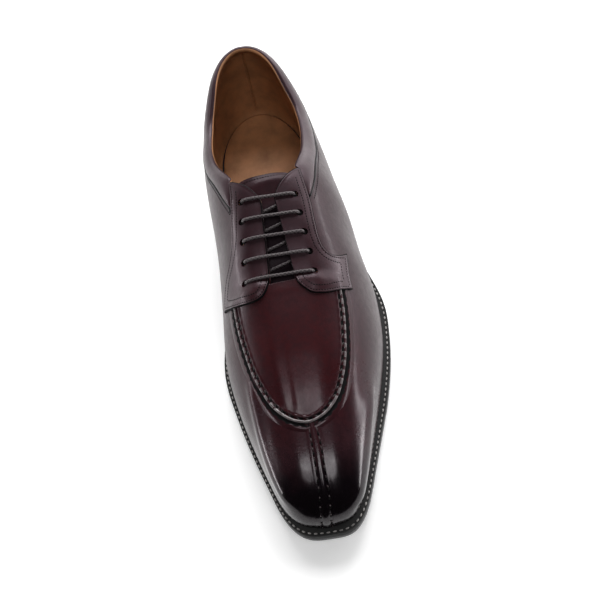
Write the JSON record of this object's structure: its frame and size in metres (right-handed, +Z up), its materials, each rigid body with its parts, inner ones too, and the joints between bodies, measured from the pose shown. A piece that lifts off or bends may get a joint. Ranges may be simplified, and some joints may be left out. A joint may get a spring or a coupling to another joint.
{
  "type": "split-toe derby shoe",
  "caption": "Left dress shoe: leather derby with apron front, split-toe seam, laced facings, welted sole, plain block heel and a hollow upper open at the collar.",
  "frame": {"origin": "on the floor under the middle of the shoe's bounding box", "axes": "+Z up, toe towards -Y, heel towards +Y, outer side of the left foot towards +X"},
  "size_m": [0.1064, 0.3039, 0.1012],
  "materials": {
    "upper_leather": "burnished oxblood brown, near black at the toe, high polish",
    "trim_leather": "dark brown with a grey sheen, satin polish",
    "sole_black": "black, waxed edge",
    "lining_tan": "tan, matt",
    "lace_cord": "dark brown, waxed"
  },
  "bodies": {
    "root": {"upper": "upper_leather", "apron": "upper_leather", "toe_seam": "upper_leather", "facing_lateral": "trim_leather", "facing_medial": "trim_leather", "collar_band": "trim_leather", "tongue": "trim_leather", "outsole": "sole_black", "heel": "sole_black", "welt": "sole_black", "insole": "lining_tan", "lace": "lace_cord"}
  },
  "joints": []
}
